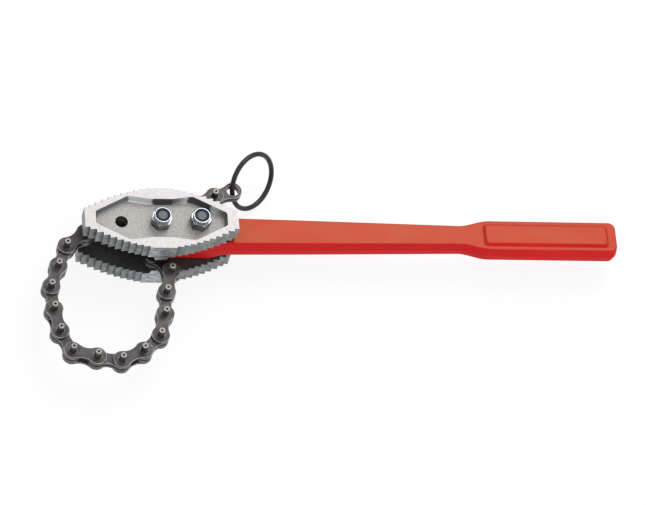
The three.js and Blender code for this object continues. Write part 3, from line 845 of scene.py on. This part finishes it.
def local(face):
    """A face's middle in millimetres from the centre bolt's middle."""
    return (face.center - centre) / MM


OUTER_FACE, RECESS_FLOOR, INNER_FACE = 47, 35.5, 22
RECESS_HALF_LENGTH, RECESS_HALF_WIDTH = 86, 33
FLOOR_FILLET = 1.8
PAD_HALF_LENGTH, PAD_OUT = 17.4, 42.9


def jaw_rules():
    def outer_flat(face):
        return abs(local(face).z) > OUTER_FACE - 0.1 and abs(face.normal.z) > 0.99

    def floor_flat(face):
        above_floor = abs(local(face).z) - RECESS_FLOOR
        return -0.5 < above_floor < FLOOR_FILLET + 0.3 and abs(face.normal.z) > 0.95

    def inner_side(face):
        return abs(local(face).z) < INNER_FACE + 0.3

    def in_bore(face):
        p = local(face)
        near_bore = any(math.hypot(p.x - x, p.y) < BOLT_BORE + 0.5 for x in BORES_X)
        return abs(face.normal.z) < 0.7 and near_bore

    def in_recess(face):
        p = local(face)
        over_it = abs(p.y) < RECESS_HALF_WIDTH and abs(p.x) < RECESS_HALF_LENGTH
        return over_it and abs(p.z) > RECESS_FLOOR + 0.1 and not outer_flat(face)

    def pad(face):
        p = local(face)
        return abs(p.x) < PAD_HALF_LENGTH and abs(p.y) > PAD_OUT and abs(face.normal.y) > 0.9

    def broken_edge(face):
        area, slope = face.area / (MM * MM), abs(face.normal.z)
        narrow = area < 25 and 0.2 < slope < 0.97 or area < 16 and slope < 0.2
        outside = abs(local(face).z) > INNER_FACE + 0.4
        return narrow and outside and not in_recess(face) and not in_bore(face)

    # The inner faces and the bores take the dark finish: partly scale, partly painted shade
    # between the jaws and in the holes.
    return [
        (milled, None), (worn_edge, broken_edge), (pad_steel, pad), (die_skin_painted_reflection, in_recess),
        (blasted, floor_flat), (ground, outer_flat), (scale_and_shade_steel, inner_side),
        (scale_and_shade_steel, in_bore),
    ]


for node in ("front_jaw", "rear_jaw"):
    piece = welded_copy(node, f"{node}_forging")
    soften(piece, 0.45, 2, 25)
    paint(piece, jaw_rules())
    smooth(piece, 30)
    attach(piece, "tongs_frame")
    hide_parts(node)
    print(piece.name, len(piece.data.polygons), "faces")

# %% [markdown]
# ## Handle
# The handle is one long forging. It could be lofted through sections, and extruding
# one end face again and again does the same by hand: push the face along the handle,
# then scale it to the next section. The forging dies meet at the middle, where the
# sides stand out by their draft angle, so two cuts along the parting line are pushed
# out. Then the nose, the grip's corners and all long edges are rounded, the lower ones
# more than the upper ones. A station is a place along the handle, from the centre bolt,
# with the half width and the half thickness there.

# %% Extrude the handle
DRAFT = 1.6
PARTING = 1.2
NOSE, GRIP_END = -23, 606.5
HEAD_END, HEAD_HALF_WIDTH, HEAD_HALF_THICKNESS = 66, 23, 21.7
NECK = (92, 20.4, 16.2)
SHAFT = [(186, 19.1, 15.6), (396, 15.5, 13.9)]
GRIP_START, GRIP_HALF_WIDTH, GRIP_HALF_THICKNESS = 436, 23, 14.5
stations = [(HEAD_END, HEAD_HALF_WIDTH, HEAD_HALF_THICKNESS)]


def blend_to(x, width, thick, steps):
    x0, width0, thick0 = stations[-1]
    for step in range(1, steps + 1):
        along = step / steps
        ease = along * along * (3 - 2 * along)
        stations.append((
            x0 + (x - x0) * along,
            width0 + (width - width0) * ease,
            thick0 + (thick - thick0) * ease,
        ))


blend_to(*NECK, 6)
stations += SHAFT
blend_to(GRIP_START, GRIP_HALF_WIDTH, GRIP_HALF_THICKNESS, 12)
stations.append((GRIP_END - DRAFT, GRIP_HALF_WIDTH, GRIP_HALF_THICKNESS))
half_width = HEAD_HALF_WIDTH - DRAFT
handle = slab(
    (NOSE + DRAFT, -half_width, -HEAD_HALF_THICKNESS), (HEAD_END, half_width, HEAD_HALF_THICKNESS),
)
handle.name = "forged_handle"
for (x0, width0, thick0), (x, width, thick) in zip(stations, stations[1:]):
    pick(handle, "FACE", lambda face: face.normal.x > 0.5 and face.center.x > (x0 - 0.5) * MM)
    bpy.ops.mesh.extrude_region_move(TRANSFORM_OT_translate={"value": ((x - x0) * MM, 0, 0)})
    growth = (1, (width - DRAFT) / (width0 - DRAFT), thick / thick0)
    bpy.ops.transform.resize(value=growth, center_override=(x * MM, 0, 0))
    done()
print("stations", len(stations), [round(d * 1000, 1) for d in handle.dimensions])

# %% Push out the parting line and round the corners
NOSE_ROUNDING, GRIP_ROUNDING = 20.7, 9
UPPER_ROUNDING, LOWER_ROUNDING = 1.7, 3.4
for level in (PARTING, -PARTING):
    alone(handle)
    bpy.ops.object.mode_set(mode="EDIT")
    bpy.ops.mesh.select_all(action="SELECT")
    bpy.ops.mesh.bisect(plane_co=(0, 0, level * MM), plane_no=(0, 0, 1))
    done()
points = handle.data.vertices
for axis, sign in ((0, 1), (0, -1), (1, 1), (1, -1)):
    def on_side(vertex):
        if abs(vertex.co.z) > (PARTING + 0.1) * MM:
            return False
        if axis == 0:
            end = GRIP_END - DRAFT if sign > 0 else NOSE + DRAFT
            return abs(vertex.co.x - end * MM) < 0.05 * MM
        return vertex.co.y * sign > 0

    pick(handle, "VERT", on_side)
    push = [0, 0, 0]
    push[axis] = sign * DRAFT * MM
    bpy.ops.transform.translate(value=push)
    done()


def corner_edges(from_x, to_x):
    def test(edge):
        ends = [points[v].co for v in edge.vertices]
        upright = abs(ends[0].z - ends[1].z) > 1 * MM
        return upright and all(from_x * MM < p.x < to_x * MM for p in ends)
    return test


points = handle.data.vertices
pick(handle, "EDGE", corner_edges(NOSE - 2, NOSE + 13))
bpy.ops.mesh.bevel(offset=NOSE_ROUNDING * MM, segments=14, affect="EDGES")
done()
points = handle.data.vertices
pick(handle, "EDGE", corner_edges(GRIP_END - 6, GRIP_END + 4))
bpy.ops.mesh.bevel(offset=GRIP_ROUNDING * MM, segments=8, affect="EDGES")
done()
for side, width in ((1, UPPER_ROUNDING), (-1, LOWER_ROUNDING)):
    alone(handle)
    bpy.ops.object.mode_set(mode="EDIT")
    bpy.ops.mesh.select_mode(type="EDGE")
    bpy.ops.mesh.select_all(action="DESELECT")
    bpy.ops.mesh.edges_select_sharp(sharpness=math.radians(35))
    done()
    points = handle.data.vertices
    sharp = {edge.index for edge in handle.data.edges if edge.select}
    pick(handle, "EDGE", lambda e: e.index in sharp and points[e.vertices[0]].co.z * side > 0)
    bpy.ops.mesh.bevel(offset=width * MM, segments=5, affect="EDGES")
    done()
print("rounded handle", [round(d * 1000, 1) for d in handle.dimensions])

# %% [markdown]
# The raised panel on each side of the grip is a low block with rounded corners and a
# sloping edge. It is joined to the grip as solid to solid, so no hidden faces are left.
# The nose is cut to a fork, open at its end, for the anchor link on the centre bolt.

# %% Raise the panels, cut the fork and the bolt holes
PANEL_START, PANEL_END, PANEL_HALF_WIDTH = 427, 594, 16.3
PANEL_HEIGHT, PANEL_SLOPE, PANEL_CORNER = 3.4, 3.5, 5
FORK_DEPTH, FORK_HALF_GAP = 17, 9.4


def grip_panel(side):
    panel = slab(
        (PANEL_START, -PANEL_HALF_WIDTH, GRIP_HALF_THICKNESS - 1),
        (PANEL_END, PANEL_HALF_WIDTH, GRIP_HALF_THICKNESS),
    )
    points = panel.data.vertices

    def upright(edge):
        first, second = (points[v].co for v in edge.vertices)
        return abs(first.z - second.z) > 0.5 * MM

    pick(panel, "EDGE", upright)
    bpy.ops.mesh.bevel(offset=PANEL_CORNER * MM, segments=8, affect="EDGES")
    done()
    pick(panel, "FACE", lambda face: face.normal.z > 0.9)
    push_up(PANEL_HEIGHT)
    middle = ((PANEL_START + PANEL_END) / 2 * MM, 0, (GRIP_HALF_THICKNESS + PANEL_HEIGHT) * MM)
    shrink_long = 1 - 2 * PANEL_SLOPE / (PANEL_END - PANEL_START)
    bpy.ops.transform.resize(
        value=(shrink_long, 1 - PANEL_SLOPE / PANEL_HALF_WIDTH, 1), center_override=middle,
    )
    done()
    soften(panel, 0.6, 3, 30)
    if side < 0:
        panel.data.transform(Matrix.Rotation(math.pi, 4, "X"))
    return panel


combine(handle, [grip_panel(1), grip_panel(-1)], "UNION")
fork = slab((-REACH, -REACH, -FORK_HALF_GAP), (FORK_DEPTH, REACH, FORK_HALF_GAP))
bores = [cylinder(BOLT_BORE, -REACH, REACH, x) for x in (0, BOLT_SPACING)]
combine(handle, [fork, *bores], "DIFFERENCE")
handle.data.transform(Matrix.Translation(centre))


def shaded_side_faces(face):
    """Upright faces, and those on the near side that slope up, which take the shaded enamel as
    painted shade.
    """
    return -0.2 < face.normal.z < (0.85 if face.normal.y < -0.5 else 0.6)


# The upright sides and the near slopes take the shaded copy of the enamel: painted shade.
paint(handle, [(enamel, None), (enamel_shaded_copy, shaded_side_faces)])
smooth(handle, 40)
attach(handle, "tongs_frame")
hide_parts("handle")
print("handle", len(handle.data.polygons), "faces")

# %% [markdown]
# ## Bolts and lock nuts
# A nut is a hexagon whose corners are turned down: the shared part of a six-sided and
# a round, bevelled prism. The lock nut also has a collar, rolled over a nylon ring
# that grips the bolt's thread. Each piece is made upright at the origin, with heights
# from the bolt's middle, and then it is turned a little, as fitters leave them.

# %% Make the nuts
HEX_CORNER = 24 / math.sqrt(3)
HEX_CHAMFER = 1.9
NUT_BASE, HEX_TOP, NUT_TOP = 35.8, 48.8, 55.8
HEAD_HEIGHT = 10
COLLAR_RADIUS, COLLAR_ROUNDING = 11.3, 1.1
NYLON_RADIUS, NYLON_HEIGHT, NYLON_SINK = 9.6, 4, 0.6
POCKET_RADIUS, POCKET_DEPTH = 9.8, 5.2
BOLT_RADIUS, BOLT_CHAMFER = 8, 2.3
FAR_BELOW, FAR_ABOVE = 20, 70


def turned_rod(radius, low, high, rounding, segments, rounded_ends):
    """A fine cylinder with the edges of the named ends cut off or rounded."""
    rod = cylinder(radius, low, high, sides=96)
    points = rod.data.vertices

    def at_a_rounded_end(edge):
        heights = [points[v].co.z / MM for v in edge.vertices]
        return any(all(abs(z - end) < 0.01 for z in heights) for end in rounded_ends)

    pick(rod, "EDGE", at_a_rounded_end)
    bpy.ops.mesh.bevel(offset=rounding * MM, segments=segments, affect="EDGES")
    done()
    return rod


def hexagon(low, high, chamfered_ends):
    prism = cylinder(HEX_CORNER, low, high, sides=6)
    blank = turned_rod(HEX_CORNER + 0.3, low, high, HEX_CHAMFER, 3, chamfered_ends)
    return combine(prism, [blank], "INTERSECT")


def lock_nut():
    body = hexagon(NUT_BASE, HEX_TOP, (NUT_BASE, HEX_TOP))
    collar = turned_rod(COLLAR_RADIUS, HEX_TOP - 1.5, NUT_TOP, COLLAR_ROUNDING, 6, (NUT_TOP,))
    combine(body, [collar], "UNION")
    combine(body, [
        cylinder(POCKET_RADIUS, NUT_TOP - POCKET_DEPTH, NUT_TOP + 5, sides=96),
        cylinder(BOLT_BORE, FAR_BELOW, FAR_ABOVE, sides=96),
    ], "DIFFERENCE")
    return soften(body, 0.35, 2, 35)


def nylon_ring():
    top = NUT_TOP - NYLON_SINK
    ring = cylinder(NYLON_RADIUS, top - NYLON_HEIGHT, top, sides=96)
    hole = turned_rod(BOLT_BORE, FAR_BELOW, top + 0.3, BOLT_CHAMFER + 0.1, 1, (top + 0.3,))
    combine(ring, [hole], "DIFFERENCE")
    return soften(ring, 0.25, 2, 35)


def bolt():
    head = hexagon(-NUT_BASE - HEAD_HEIGHT, -NUT_BASE, (-NUT_BASE - HEAD_HEIGHT,))
    top = NUT_TOP - NYLON_SINK
    combine(head, [turned_rod(BOLT_RADIUS, -NUT_BASE - 1, top, BOLT_CHAMFER, 1, (top,))], "UNION")
    return soften(head, 0.2, 2, 40)


# Upright hexagon flats, which take the darker zinc as painted shade.
def shaded_hex_flat(face):
    return abs(face.normal.z) < 0.3 and local(face).z < HEX_TOP - 0.5


def top_of_shank(face):
    return local(face).z > NUT_TOP - 3


fittings = [
    ("centre_nut", lock_nut, 41, 0, zinc, "zinc_plate"),
    ("handle_nut", lock_nut, 13, BOLT_SPACING, zinc, "zinc_plate"),
    ("centre_nut_insert", nylon_ring, 0, 0, nylon, "nylon"),
    ("handle_nut_insert", nylon_ring, 0, BOLT_SPACING, nylon, "nylon"),
    ("centre_bolt", bolt, 10, 0, zinc, "zinc_plate"),
    ("handle_bolt", bolt, 10, BOLT_SPACING, zinc, "zinc_plate"),
]
for node, make, turn, x, finish, slot in fittings:
    piece = make()
    piece.name = f"{node}_turned"
    piece.data.name = piece.name
    spot = Matrix.Translation(centre + Vector((x, 0, 0)) * MM)
    piece.data.transform(spot @ Matrix.Rotation(math.radians(turn), 4, "Z"))
    rules = [(finish, None)]
    if finish is zinc:
        rules.append((zinc_painted_shade, shaded_hex_flat))
    if make is bolt:
        rules.append((cut_steel, top_of_shank))
    paint(piece, rules)
    smooth(piece, 35)
    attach(piece, "tongs_frame")
    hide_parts(node)
    print(piece.name, len(piece.data.polygons), "faces")

# %% [markdown]
# ## Pull ring
# The ring is bent from round wire. A torus has the right shape, and the frame's ring
# gives its place: the centre is the mean of its points, and the axis is the direction
# square to all spokes.

# %% Bend the ring
RING_RADIUS, WIRE_RADIUS = 37.3, 3.3
wire = [Vector(v.co) for v in frame["nodes"]["pull_ring"].data.vertices]
middle = sum(wire, Vector()) / len(wire)
spoke = max(wire, key=lambda p: (p - middle).length) - middle
across = max(wire, key=lambda p: (p - middle).cross(spoke).length) - middle
axis = spoke.cross(across).normalized()
bpy.ops.object.select_all(action="DESELECT")
bpy.ops.mesh.primitive_torus_add(
    major_radius=RING_RADIUS * MM, minor_radius=WIRE_RADIUS * MM,
    major_segments=128, minor_segments=24,
)
ring = bpy.context.object
ring.name = "pull_ring_wire"
ring.data.transform(Matrix.Translation(middle) @ axis.to_track_quat("Z", "Y").to_matrix().to_4x4())
paint(ring, [(blacked, None)])
smooth(ring, 60)
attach(ring, "ring")
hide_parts("pull_ring")
print("ring centre", [round(c, 4) for c in middle], "axis", [round(c, 3) for c in axis])

# %% [markdown]
# ## Update the scene

# %% Update the view layer
bpy.context.view_layer.update()
